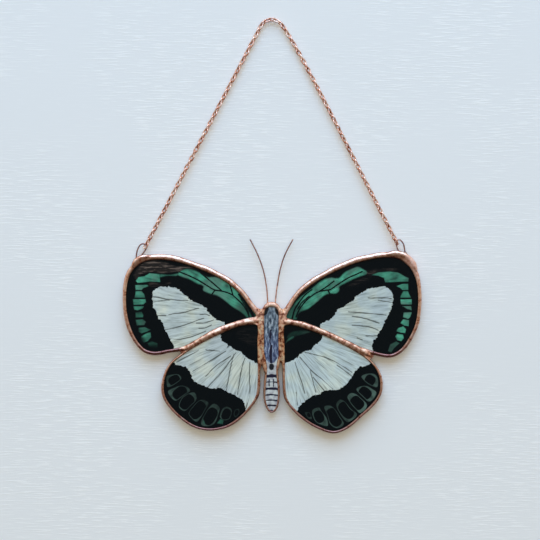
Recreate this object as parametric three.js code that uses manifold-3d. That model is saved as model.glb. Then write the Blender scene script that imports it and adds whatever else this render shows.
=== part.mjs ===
// A butterfly of five painted glass panes in copper foil, hung on a fine chain.
// Lengths are in millimetres. The origin is where the hook sits, under the top of the chain.
// X runs from wing to wing, Z is up, and the painted front faces -Y.
import * as THREE from "three";
import { mergeVertices } from "three/addons/utils/BufferGeometryUtils.js";
import Module from "manifold-3d";

const GLASS = 3.0; // thickness of a pane
const GAP = 0.3; // clearance between pieces
const LAP = 0.5; // how far the metal covers the edge of a pane
const FACE = 0.8; // metal over each face of the glass, clearance aside
const BEVEL = 0.4; // rounding of the metal's edges
const CROWN = 0.4; // how far a soldered seam stands above the rims in front
const SEAM_HALF = 1.1; // half the width of a seam's bead
const ANTENNA_WIRE = 0.7;
const LOOP_WIRE = 0.8;
const CHAIN_WIDTH = 2.4; // over the links
const DROP = 149; // from the hook down to the panel's origin, where wings and body meet
const ROUND_SIDES = 8;
const METAL_HALF = GLASS / 2 + GAP + FACE;

// Outlines of the glass that shows, each point [x, y, width of the metal there], in the panel's plane.
const FOREWING_LEFT = [
  [-6.9, 1.8, 1.6], [-10.7, 7.5, 2.0], [-15.7, 14.1, 2.1], [-23.2, 20.2, 2.1], [-33.2, 25.1, 2.1],
  [-45.7, 29.5, 2.0], [-55.7, 31.0, 1.9], [-63.2, 30.0, 1.9], [-68.2, 26.8, 1.9], [-71.2, 22.0, 1.7],
  [-72.6, 14.0, 1.5], [-72.5, 5.5, 1.5], [-70.9, -2.2, 1.4], [-67.7, -9.5, 1.3], [-63.2, -14.6, 1.4],
  [-58.2, -16.0, 1.4], [-51.7, -15.0, 1.4], [-44.2, -13.6, 1.4], [-37.2, -9.9, 1.5], [-28.2, -4.7, 1.5],
  [-18.2, -1.0, 1.5], [-10.7, 1.0, 1.5],
];
const FOREWING_RIGHT = [
  [7.2, 1.2, 1.5], [9.8, 7.4, 1.9], [14.3, 13.6, 2.1], [21.8, 19.5, 2.1], [31.8, 25.0, 2.1],
  [43.3, 29.5, 2.0], [54.3, 31.8, 1.9], [60.8, 31.9, 1.9], [65.3, 30.5, 2.0], [69.8, 26.4, 1.9],
  [72.3, 21.0, 1.8], [73.4, 13.5, 1.6], [73.3, 5.5, 1.5], [72.0, -2.2, 1.4], [68.8, -9.2, 1.3],
  [64.6, -14.7, 1.3], [59.8, -17.2, 1.4], [54.8, -16.8, 1.4], [50.1, -15.5, 1.4], [43.3, -13.2, 1.5],
  [34.3, -8.7, 1.5], [24.3, -4.2, 1.5], [15.3, -0.9, 1.5],
];
const HINDWING_LEFT = [
  [-7.0, -2.9, 1.3], [-11.7, -2.6, 1.5], [-18.2, -4.0, 1.5], [-25.7, -7.2, 1.5], [-33.2, -10.8, 1.5],
  [-40.7, -15.2, 1.5], [-45.7, -18.6, 1.4], [-49.7, -22.0, 1.3], [-52.5, -27.0, 1.2], [-53.8, -33.0, 1.2],
  [-53.1, -38.2, 1.2], [-49.7, -43.5, 1.3], [-43.7, -49.2, 1.3], [-37.2, -53.0, 1.3], [-30.2, -54.1, 1.3],
  [-22.7, -52.7, 1.3], [-16.2, -48.7, 1.3], [-10.7, -43.0, 1.3], [-7.5, -37.8, 1.3], [-6.6, -31.0, 1.2],
  [-6.6, -21.0, 1.2], [-6.8, -10.0, 1.3],
];
const HINDWING_RIGHT = [
  [6.5, -3.0, 1.3], [10.8, -2.8, 1.5], [18.3, -4.9, 1.5], [26.8, -8.2, 1.5], [35.8, -12.5, 1.5],
  [42.8, -16.3, 1.5], [48.3, -20.2, 1.4], [52.1, -24.4, 1.3], [54.2, -29.5, 1.3], [54.2, -35.8, 1.2],
  [51.3, -40.8, 1.2], [44.8, -47.1, 1.2], [38.1, -52.8, 1.2], [31.6, -55.4, 1.3], [24.3, -53.5, 1.2],
  [17.3, -49.5, 1.2], [11.3, -44.2, 1.2], [7.8, -39.4, 1.2], [6.8, -33.0, 1.2], [6.6, -22.5, 1.2],
  [6.4, -11.0, 1.3],
];
const BODY = [
  [0.0, 7.2, 2.1], [1.8, 6.8, 2.0], [3.2, 5.2, 1.7], [3.6, 1.5, 1.6], [3.9, -6.0, 1.6],
  [3.8, -13.0, 1.6], [3.3, -18.2, 1.5], [2.5, -22.0, 1.2], [2.3, -25.5, 1.2], [2.8, -30.5, 1.2],
  [3.2, -36.0, 1.2], [2.8, -40.8, 1.2], [1.7, -44.0, 1.2], [0.2, -45.2, 1.2], [-1.2, -44.0, 1.2],
  [-2.4, -41.0, 1.2], [-2.8, -36.5, 1.2], [-2.4, -30.5, 1.2], [-2.0, -25.5, 1.2], [-2.1, -22.2, 1.3],
  [-2.9, -18.2, 1.8], [-3.6, -13.0, 2.0], [-3.7, -6.0, 2.0], [-3.5, 1.5, 1.9], [-3.1, 5.3, 1.8],
  [-1.8, 6.8, 2.0],
];

// Middle lines of the soldered seams
const SEAMS = [
  [[-5.2, 0.2], [-10.7, -0.8], [-15.7, -1.8], [-20.7, -3.5], [-25.7, -5.7], [-34.0, -9.9], [-43.5, -14.8]],
  [[5.1, -0.6], [10.9, -1.2], [15.9, -2.3], [20.9, -4.0], [25.9, -6.2], [36.9, -11.5], [44.4, -15.3], [49.0, -18.0]],
  [[-5.2, 4.0], [-5.2, -8.0], [-5.0, -17.5]],
  [[5.1, 4.5], [5.1, -8.0], [5.0, -17.0]],
];

// Middle lines of the wires and the chain
const ANTENNA_LEFT = [[-1.8, 9.5], [-2.2, 14.9], [-3.8, 24.1], [-6.6, 32.2], [-10.6, 40.3]];
const ANTENNA_RIGHT = [[2.0, 9.4], [2.7, 15.2], [4.6, 25.8], [6.9, 32.8], [10.8, 40.3]];
const LOOP_LEFT = [
  [-67.6, 30.6], [-67.2, 34.0], [-66.5, 36.0], [-65.4, 37.6], [-64.0, 38.1], [-62.6, 37.5], [-62.4, 36.1],
  [-63.4, 34.4], [-64.8, 32.4],
];
const LOOP_RIGHT = [
  [63.9, 34.1], [62.8, 36.5], [62.5, 38.0], [62.8, 39.5], [63.6, 40.1], [64.6, 39.9], [65.5, 38.9],
  [66.2, 37.6], [67.0, 33.0],
];
const CHAIN = [
  [-62.1, 38.3], [-7.2, 143.2], [-5.0, 147.3], [-3.2, 149.1], [-0.6, 150.2], [2.2, 149.8], [4.4, 148.4],
  [6.4, 146.0], [8.6, 142.4], [16.8, 128.0], [61.8, 40.4],
];

const wasm = await Module();
wasm.setup();

// A geometry as a closed solid that can be added to or cut from another.
function solid(geometry) {
  const bare = geometry.clone();
  bare.deleteAttribute("normal");
  bare.deleteAttribute("uv");
  const merged = mergeVertices(bare, 1e-4);
  return new wasm.Manifold(
    new wasm.Mesh({
      numProp: 3,
      vertProperties: new Float32Array(merged.attributes.position.array),
      triVerts: new Uint32Array(merged.index.array),
    }),
  );
}

// A solid as a geometry again.
function geometryOf(body) {
  const mesh = body.getMesh();
  const geometry = new THREE.BufferGeometry();
  geometry.setAttribute("position", new THREE.BufferAttribute(mesh.vertProperties, 3));
  geometry.setIndex(new THREE.BufferAttribute(mesh.triVerts, 1));
  geometry.computeVertexNormals();
  return geometry;
}

// A smooth closed line through the points, two steps to a point, running counterclockwise.
function closedLine(points) {
  const curve = new THREE.CatmullRomCurve3(points.map((p) => new THREE.Vector3(...p)), true, "centripetal");
  const line = curve.getPoints(2 * points.length).slice(0, -1);
  return THREE.ShapeUtils.isClockWise(line) ? line.reverse() : line;
}

// The line moved outwards, at each point by the distance that reach gives.
function moved(line, reach) {
  return line.map((p, i) => {
    const before = line.at(i - 1);
    const after = line[(i + 1) % line.length];
    const along = new THREE.Vector2(after.x - before.x, after.y - before.y).normalize();
    return new THREE.Vector2(p.x + along.y * reach(p), p.y - along.x * reach(p));
  });
}

// A plate of the given outline, its thickness shared evenly before and behind the panel's plane.
function plate(points, thickness) {
  const geometry = new THREE.ExtrudeGeometry(new THREE.Shape(points), { depth: thickness, bevelEnabled: false });
  return geometry.translate(0, 0, -thickness / 2);
}

// The metal round one pane: a flat ring with bevelled edges.
function rim(points) {
  const line = closedLine(points);
  const shape = new THREE.Shape(moved(line, (p) => p.z));
  shape.holes.push(new THREE.Path(moved(line, () => 0)));
  const depth = 2 * (METAL_HALF - BEVEL);
  const geometry = new THREE.ExtrudeGeometry(shape, {
    depth,
    bevelThickness: BEVEL,
    bevelSize: BEVEL,
    bevelOffset: -BEVEL,
    bevelSegments: 1,
  });
  return geometry.translate(0, 0, -depth / 2);
}

// The room in the metal for one pane.
function groove(points) {
  return plate(moved(closedLine(points), () => LAP + GAP), GLASS + 2 * GAP);
}

// One pane, which the metal laps over all round.
function pane(points) {
  return plate(moved(closedLine(points), () => LAP), GLASS);
}

// A bar of the given section along a line in the panel's plane.
function swept(points, section, steps) {
  const path = new THREE.CatmullRomCurve3(points.map((p) => new THREE.Vector3(p[0], p[1], 0)), false, "centripetal");
  return new THREE.ExtrudeGeometry(section, { extrudePath: path, steps, bevelEnabled: false });
}

// A soldered seam: a bead crowned in front and kept just inside the flat back. The section's X points back.
function bead(points) {
  const back = METAL_HALF - 0.1;
  const front = -METAL_HALF - CROWN;
  const section = new THREE.Shape([
    new THREE.Vector2(back, -SEAM_HALF),
    new THREE.Vector2(back, SEAM_HALF),
    new THREE.Vector2(front + 2 * CROWN, SEAM_HALF),
    new THREE.Vector2(front, SEAM_HALF / 2),
    new THREE.Vector2(front, -SEAM_HALF / 2),
    new THREE.Vector2(front + 2 * CROWN, -SEAM_HALF),
  ]);
  return swept(points, section, 2 * points.length);
}

// A round wire or chain.
function wire(points, diameter, steps) {
  const section = new THREE.Shape();
  for (let i = 0; i < ROUND_SIDES; i += 1) {
    const angle = (2 * Math.PI * i) / ROUND_SIDES;
    const point = [(diameter / 2) * Math.cos(angle), (diameter / 2) * Math.sin(angle)];
    if (i === 0) section.moveTo(...point);
    else section.lineTo(...point);
  }
  section.closePath();
  return swept(points, section, steps);
}

// The foil and solder of all five panes, fused into one piece.
function frame() {
  const panes = [FOREWING_LEFT, FOREWING_RIGHT, HINDWING_LEFT, HINDWING_RIGHT, BODY];
  let body = solid(rim(panes[0]));
  for (const points of panes.slice(1)) body = body.add(solid(rim(points)));
  for (const points of SEAMS) body = body.add(solid(bead(points)));
  for (const points of panes) body = body.subtract(solid(groove(points)));
  return geometryOf(body);
}

const copper = new THREE.MeshStandardMaterial({ color: 0xb87658, metalness: 1, roughness: 0.35 });
const chainCopper = new THREE.MeshStandardMaterial({ color: 0xb06a4a, metalness: 1, roughness: 0.3 });
const wingGlass = new THREE.MeshStandardMaterial({ color: 0x23332f, metalness: 0, roughness: 0.12 });
const bodyGlass = new THREE.MeshStandardMaterial({ color: 0x7f8ea6, metalness: 0, roughness: 0.12 });

const group = new THREE.Group();
group.rotation.x = Math.PI / 2;
group.position.z = -DROP;

// Adds one piece under its name.
function place(name, geometry, material) {
  const mesh = new THREE.Mesh(geometry, material.clone());
  mesh.name = name;
  group.add(mesh);
}

place("copper_frame", frame(), copper);
place("forewing_left_glass", pane(FOREWING_LEFT), wingGlass);
place("forewing_right_glass", pane(FOREWING_RIGHT), wingGlass);
place("hindwing_left_glass", pane(HINDWING_LEFT), wingGlass);
place("hindwing_right_glass", pane(HINDWING_RIGHT), wingGlass);
place("body_glass", pane(BODY), bodyGlass);
place("antenna_left", wire(ANTENNA_LEFT, ANTENNA_WIRE, 10), copper);
place("antenna_right", wire(ANTENNA_RIGHT, ANTENNA_WIRE, 10), copper);
place("hang_loop_left", wire(LOOP_LEFT, LOOP_WIRE, 16), copper);
place("hang_loop_right", wire(LOOP_RIGHT, LOOP_WIRE, 16), copper);
place("hang_chain", wire(CHAIN, CHAIN_WIDTH, 80), chainCopper);

export default group;
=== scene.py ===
"""Looks, wall, light and camera of a butterfly of painted glass in copper foil, hung on a fine chain.

Drawings are in millimetres in the panel's plane, x to the right and y up from where wings and body meet.
The painted front faces -Y. Everything else is in metres, in the frame's own axes.
"""
import math

import bpy
import numpy as np
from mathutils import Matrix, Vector, noise
from mathutils.geometry import delaunay_2d_cdt
from mathutils.kdtree import KDTree


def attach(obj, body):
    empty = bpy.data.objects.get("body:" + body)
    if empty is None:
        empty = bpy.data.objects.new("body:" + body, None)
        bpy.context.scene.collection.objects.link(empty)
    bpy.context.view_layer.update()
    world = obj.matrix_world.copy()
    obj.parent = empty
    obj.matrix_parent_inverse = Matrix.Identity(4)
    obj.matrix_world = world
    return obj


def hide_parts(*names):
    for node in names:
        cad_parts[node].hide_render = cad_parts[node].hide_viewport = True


# Driving dimensions
MM = 0.001
DROP = 149.0  # mm from the hook down to the panel's origin
GLASS = 3.0  # mm, thickness of a pane
LAP = 0.5  # mm of each pane's edge under the metal
WALL_BEHIND = 3.7  # mm from the panel's middle plane to the wall, level with the panel's origin
WALL_LEAN = 0.0121  # the panel hangs with its foot a little further from the wall than its top
WALL_REACH = 1.2  # half the wall's width and height
FIELD = 0.270  # width of wall in the picture
CAMERA_AWAY = 0.60
VIEW_MIDDLE = (-0.65, 25.0)  # mm, the panel's point at the picture's middle
SENSOR = 36.0

# Metal, in mm. A bead's section is a crown, front and back, on a flat-sided middle.
RIM_INSIDE = {"forewing": 0.4, "hindwing": 0.3, "body": -0.1}  # foil over the glass, past the CAD's own
RIM_OUTSIDE = {"forewing": 1.5, "hindwing": 1.1, "body": 1.1}
TOP_INSIDE = {"forewing": 0.55, "hindwing": -0.4, "body": 0.7}  # added to it where a rim faces up
TOP_OUTSIDE = {"forewing": 0.45, "hindwing": 0.0, "body": 0.75}
# Sections: half the middle's depth, the crown, its peak's place across and its roundness
RIM_SECTION = (1.6, 0.85, -0.3, 1.0)
SEAM_SECTION = (1.9, 0.9, 0.0, 0.9)
RIM_WAVER = (0.13, 0.13, 3.0)  # unevenness in width: amount, scale and seed
SEAM_WAVER = (0.14, 0.17, 8.0)
END_TAPER = 3.5  # length over which a bead narrows at its ends
DROP_DEPTH = 1.6  # half the depth of a small drop
DIMPLES = (0.045, 4.5)  # depth and spacing of the unevenness in the solder
VOXEL = 0.36
FLOW = (0.5, 5)  # smoothing of the fused metal: strength and rounds
ANTENNA_WIRE = 0.65
LOOP_WIRE = 0.68
CHAIN_WIDTH = 2.5  # over one link
LINK_WIRE = 0.8
LINK_PITCH = 2.45
LINK_TWIST = math.radians(30)  # how far the links are turned from flat to the wall
LINK_SWAY = (0.5, 0.07)  # how much that varies along the chain, and how fast
LINK_STEPS = (22, 8)  # round a link and round its wire
LINK_POWER = 0.8  # 1 is an ellipse, and less is squarer

# Fineness of the painted panes: spacing of points in mm, and points round an outline
FRONT_SPACING = 0.25
BACK_SPACING = 0.6
WING_POINTS = 420
BODY_POINTS = 240
RIM_POINTS = 320

# Soldered seams: half the width, and the middle line
SEAMS = [
    (1.25, [
        (-5.2, 0.2), (-10.7, -0.8), (-15.7, -1.7), (-20.7, -3.4), (-25.7, -5.4), (-31.0, -7.6),
        (-35.0, -9.7), (-39.0, -12.2), (-44.0, -14.8),
    ]),
    (1.4, [
        (5.1, -0.6), (10.9, -1.2), (15.9, -2.3), (20.9, -4.0), (25.9, -6.2), (36.9, -11.2), (44.4, -14.9),
        (49.4, -17.6),
    ]),
    (1.5, [(-5.05, 5.6), (-5.05, -8.0), (-4.95, -18.0), (-4.6, -21.9)]),
    (1.45, [(5.0, 5.8), (4.95, -8.0), (4.9, -17.0), (4.8, -20.4)]),
]
# Beads of solder that thicken the rims by the loops and below the body seams, written in the same way
FILLETS = [
    (1.4, [(-69.6, 26.8), (-67.4, 29.4), (-65.0, 31.0), (-61.0, 32.0)]),
    (1.6, [(57.5, 32.9), (62.5, 33.1), (66.3, 32.1), (69.6, 29.4), (72.6, 24.5)]),
    (0.75, [(-5.7, -19.0), (-5.8, -22.5), (-5.9, -26.0)]),
    (0.7, [(-3.9, -19.0), (-3.7, -22.5), (-3.4, -26.0)]),
    (0.75, [(5.8, -17.5), (5.8, -21.0), (5.9, -24.5)]),
    (0.7, [(3.9, -17.5), (3.8, -21.0), (3.5, -24.5)]),
]
# Solder drops: x, y and radius
DROPS = [
    (-67.5, 30.4, 0.8), (-64.9, 32.0, 0.9), (63.8, 34.0, 0.9), (66.9, 33.2, 1.0), (-1.8, 8.3, 0.7),
    (2.0, 8.2, 0.7), (-44.4, -15.0, 1.6), (49.6, -18.0, 1.6), (-7.0, 4.6, 1.5), (7.2, 4.8, 1.5),
]
ANTENNAE = {
    "antenna_left": [(-1.8, 8.6), (-2.2, 14.9), (-3.8, 24.1), (-6.6, 32.2), (-10.6, 40.3)],
    "antenna_right": [(2.0, 8.5), (2.7, 15.2), (4.6, 25.8), (6.9, 32.8), (10.8, 40.3)],
}
LOOPS = {
    "hang_loop_left": [
        (-67.6, 29.9), (-67.2, 34.0), (-66.5, 36.0), (-65.4, 37.6), (-64.0, 38.1), (-62.6, 37.5),
        (-62.4, 36.1), (-63.4, 34.4), (-65.2, 31.8),
    ],
    "hang_loop_right": [
        (64.0, 33.6), (62.8, 36.5), (62.5, 38.0), (62.8, 39.5), (63.6, 40.1), (64.6, 39.9), (65.5, 38.9),
        (66.2, 37.6), (67.0, 32.6),
    ],
}
CHAIN_ROUTE = [
    (-62.7, 37.2), (-7.2, 143.2), (-5.0, 147.3), (-3.2, 149.1), (-0.6, 150.2), (2.2, 149.8), (4.4, 148.4),
    (6.4, 146.0), (8.6, 142.4), (16.8, 128.0), (62.4, 39.2),
]

# Colours of copper: bright, middle and dark, or stops by the strength of the mottling
FOIL_COPPER = ((1.0, 0.73, 0.62), (0.92, 0.55, 0.43), (0.62, 0.29, 0.20))
WIRE_COPPER = ((0.96, 0.60, 0.48), (0.74, 0.40, 0.31), (0.34, 0.16, 0.12))
CHAIN_COPPER = ((1.0, 0.77, 0.65), (0.95, 0.56, 0.44), (0.54, 0.26, 0.18))
BODY_COPPER = [(0.40, (0.20, 0.06, 0.035)), (0.50, (0.87, 0.44, 0.265)), (0.58, (1.0, 0.80, 0.57))]
SEAM_COPPER = [(0.38, (0.32, 0.11, 0.075)), (0.50, (0.84, 0.45, 0.31)), (0.60, (1.0, 0.71, 0.55))]
SPECK = (0.035, 0.018, 0.012)
# Tarnish and painted shade: the colour that the copper darkens to on its sides, undersides and low down
TARNISH_AND_SHADE = (0.22, 0.085, 0.088)
TIP_BROWN = (0.17, 0.075, 0.08)  # wires darken to it higher up
WIRE_TIPS = (12, 27)  # mm, the heights between which they do
HIGHLIGHT_SPOTS = [(71.0, 26.5), (-5.4, 3.0), (0.0, 9.5), (5.4, 3.0)]  # mm, painted highlights: spots where the metal is left bright

# Where the metal's colour changes, in mm: across from the middle or out from a spot, or in height
BODY_REACH = (6, 11)
BODY_FADE = (-7, 3)
FORK_FADE = (-25, -19)
# Painted shade: the metal darkens towards the bottom between these heights
LOW_SHADE = (-46, -14)
HIGHLIGHT_REACH = (4, 9)

# Fineness of the textures, per metre
MOTTLE_GRAIN = 420
SPECK_GRAIN = 1500
DENT_GRAIN = 700
TINT_GRAIN = 95
CLOUD_GRAIN = 260
SPECKLE_GRAIN = 700
BLOT_GRAIN = 520
WALL_GRAIN = 16
# Strokes: fineness across and along, detail and roughness. Across a wing it is for each radian.
WING_STROKE = (38.0, 95.0, 4, 0.65)
WING_STREAK = (46.0, 42.0, 3, 0.6)
SCRIBBLE = (140.0, 1350.0, 4, 0.65)
BODY_STROKE = (1000.0, 260.0, 4, 0.62)
WALL_STROKE = (100.0, 1300.0, 3, 0.55)

# Colours of paint, as one colour or as stops
BLACK = (0.0013, 0.0038, 0.0058)
GREEN = [(0.36, (0.031, 0.102, 0.077)), (0.50, (0.057, 0.255, 0.174)), (0.64, (0.090, 0.43, 0.285))]
GREY_GREEN = (0.100, 0.195, 0.158)
RING_GREEN = [(0.38, (0.075, 0.125, 0.105)), (0.50, (0.17, 0.30, 0.25)), (0.62, (0.25, 0.43, 0.36))]
WHITE = [(0.38, (0.52, 0.60, 0.62)), (0.50, (0.58, 0.66, 0.65)), (0.62, (0.65, 0.70, 0.63))]
WHITE_TONE = [(0.30, (0.42, 0.44, 0.43)), (0.43, (0.79, 0.80, 0.80)), (0.58, (1.02, 1.02, 1.02))]
WHITE_STREAK = (0.16, 0.18, 0.16)
# Brownish strokes painted as the copper's reflection in the glass
REFLECTION_BROWN = (0.14, 0.108, 0.092)
FINE_LINE = (0.065, 0.075, 0.07)
UPPER_THORAX = [
    (0.36, (0.013, 0.020, 0.040)), (0.46, (0.075, 0.108, 0.148)), (0.56, (0.20, 0.26, 0.32)),
    (0.66, (0.48, 0.56, 0.64)),
]
LOWER_THORAX = [
    (0.36, (0.011, 0.014, 0.042)), (0.46, (0.060, 0.082, 0.160)), (0.56, (0.155, 0.205, 0.32)),
    (0.66, (0.42, 0.50, 0.62)),
]
ABDOMEN = [(0.35, (0.34, 0.35, 0.39)), (0.60, (0.55, 0.60, 0.60))]
BODY_LINE = (0.012, 0.012, 0.030)
BODY_SPOT = (0.010, 0.012, 0.017)
WALL_PAINT = [(0.0, (0.806, 0.839, 0.868)), (1.0, (0.885, 0.914, 0.938))]

# Markings of each wing: the tone of its white, the white patch's outline, soft green patches and crisp
# green cells with their brightness, veins with their half width, patches of thin brownish strokes, mostly
# a painted reflection of the copper in the glass, with their strength, rings, and fine dark lines in the
# white. Cells dim towards the wing's edge, between the two distances in fade. A ring is its brightness, its
# outer outline and the black oval in it: x, y, half length towards the wing's root and half width.
FOREWING_LEFT = {
    "root": (-3.0, 1.0),
    "pale": (0.98, 0.99, 0.97),
    "fade": (2.2, 5.6),
    "white": [
        (-58.7, 15.0), (-57.2, 16.0), (-55.7, 16.5), (-51.7, 16.6), (-48.2, 16.1), (-45.7, 14.9),
        (-42.7, 12.2), (-40.2, 10.1), (-37.2, 8.7), (-34.2, 7.3), (-32.2, 5.8), (-32.4, 4.8), (-30.7, 3.2),
        (-29.7, 2.0), (-28.2, 1.4), (-27.7, 0.2), (-26.2, -0.1), (-23.2, -1.6), (-22.7, -4.0),
        (-33.2, -9.0), (-41.7, -14.0), (-48.7, -16.0), (-48.7, -12.8), (-49.9, -10.5), (-51.4, -7.5),
        (-53.2, -4.5), (-53.9, -2.0), (-55.4, 0.1), (-56.4, 1.0), (-56.8, 2.2), (-57.7, 4.5), (-58.9, 6.5),
        (-59.2, 10.0),
    ],
    "green": [
        (1.0, [
            (-47.2, 22.5), (-45.2, 21.5), (-40.7, 20.0), (-37.2, 18.0), (-34.2, 16.8), (-34.4, 14.8),
            (-30.7, 13.0), (-27.2, 12.0), (-23.7, 9.8), (-19.7, 6.5), (-15.7, 4.0), (-13.7, 2.5),
            (-12.2, 0.8), (-6.7, 2.0), (-9.7, 6.5), (-12.7, 10.0), (-15.7, 13.5), (-19.7, 17.8),
            (-22.7, 19.8), (-27.2, 21.8), (-31.7, 21.8), (-35.7, 24.0), (-40.7, 25.8), (-44.7, 25.2),
        ]),
        (0.75, [(-55.7, 23.0), (-50.7, 22.8), (-46.2, 23.5), (-46.7, 22.0), (-51.7, 21.9), (-55.7, 21.2)]),
    ],
    "cells": [
        (1.0, [
            (-67.7, 19.5), (-66.4, 21.5), (-63.2, 22.0), (-60.7, 23.5), (-55.7, 23.0), (-55.4, 19.0),
            (-60.7, 19.2), (-64.2, 18.7), (-66.7, 18.5),
        ]),
        (0.95, [(-67.9, 17.5), (-61.7, 17.7), (-61.2, 16.9), (-63.7, 16.0), (-64.7, 15.0), (-67.7, 15.0)]),
        (0.85, [(-67.7, 14.5), (-64.7, 14.5), (-63.4, 13.0), (-62.9, 11.2), (-68.2, 11.2)]),
        (0.9, [(-69.2, 10.5), (-62.7, 10.6), (-62.4, 9.0), (-63.7, 7.8), (-68.7, 7.6)]),
        (0.65, [(-68.9, 7.0), (-63.4, 7.0), (-64.2, 5.8), (-66.7, 4.8), (-68.4, 5.2)]),
        (0.4, [(-67.7, 3.8), (-64.7, 4.2), (-63.7, 2.5), (-63.9, 1.4), (-67.7, 1.2)]),
        (0.5, [(-67.7, 0.2), (-64.2, 0.5), (-62.4, -0.8), (-63.4, -2.5), (-67.2, -2.7)]),
        (0.5, [(-66.2, -3.8), (-63.2, -3.4), (-60.2, -4.8), (-62.2, -5.8), (-64.7, -6.7), (-66.2, -5.9)]),
        (0.8, [
            (-64.9, -8.0), (-62.2, -6.5), (-60.2, -6.0), (-59.9, -8.5), (-61.7, -10.5), (-63.7, -11.5),
            (-64.9, -10.2),
        ]),
        (0.2, [
            (-61.9, -11.5), (-59.7, -10.5), (-56.7, -11.5), (-56.7, -14.5), (-58.7, -16.2), (-60.7, -14.0),
        ]),
    ],
    "veins": [
        (0.32, [
            (-45.7, 24.0), (-40.7, 22.0), (-35.7, 19.5), (-31.7, 17.0), (-28.2, 15.0), (-24.7, 14.5),
            (-20.2, 13.0), (-16.7, 10.2), (-13.7, 7.0), (-11.7, 3.5), (-10.7, 0.5),
        ]),
        (0.32, [(-35.2, 23.5), (-29.2, 18.5), (-25.7, 15.5), (-24.7, 14.5)]),
        (0.32, [(-28.2, 14.8), (-29.7, 12.8)]),
        (0.32, [(-20.9, 18.5), (-20.2, 16.0), (-19.2, 12.8)]),
        (0.45, [(-16.2, 12.8), (-13.2, 9.0), (-11.2, 6.0)]),
        (0.7, [(-11.2, 6.0), (-9.7, 3.5), (-8.7, 1.0)]),
        (0.25, [(-15.2, 10.5), (-12.7, 6.8), (-11.2, 3.5)]),
    ],
    "reflection_haze": [
        (1.0, [
            (-68.7, 22.0), (-67.2, 25.5), (-64.2, 28.2), (-58.2, 29.8), (-53.2, 29.0), (-47.7, 27.0),
            (-42.7, 27.0), (-37.7, 25.5), (-42.7, 24.8), (-47.7, 24.0), (-53.2, 23.5), (-60.7, 23.8),
            (-64.2, 23.2), (-67.2, 20.5),
        ]),
        (0.5, [
            (-61.2, 18.5), (-57.2, 18.8), (-54.2, 17.8), (-49.7, 19.2), (-50.2, 18.2), (-55.7, 17.0),
            (-60.7, 17.2),
        ]),
    ],
    "fine": [
        [(-59.7, 11.6), (-56.7, 11.3), (-53.2, 10.6), (-46.7, 9.9), (-41.7, 9.8)],
        [(-59.2, 9.0), (-54.2, 9.8), (-50.7, 10.1)],
        [(-51.2, 2.7), (-48.2, 3.3), (-45.7, 3.4), (-36.2, 6.0)], [(-57.2, 2.3), (-52.7, 2.3)],
        [(-50.2, -9.2), (-46.7, -9.5), (-40.7, -8.6), (-32.7, -5.5)],
        [(-53.2, -4.8), (-46.7, -3.5), (-33.7, 1.0)], [(-35.5, 2.6), (-33.0, 3.0), (-30.8, 2.2)],
        [(-37.4, -1.5), (-33.0, -1.3), (-28.6, 0.2)], [(-36.0, -4.2), (-33.0, -3.9), (-29.8, -2.4)],
    ],
}
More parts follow.
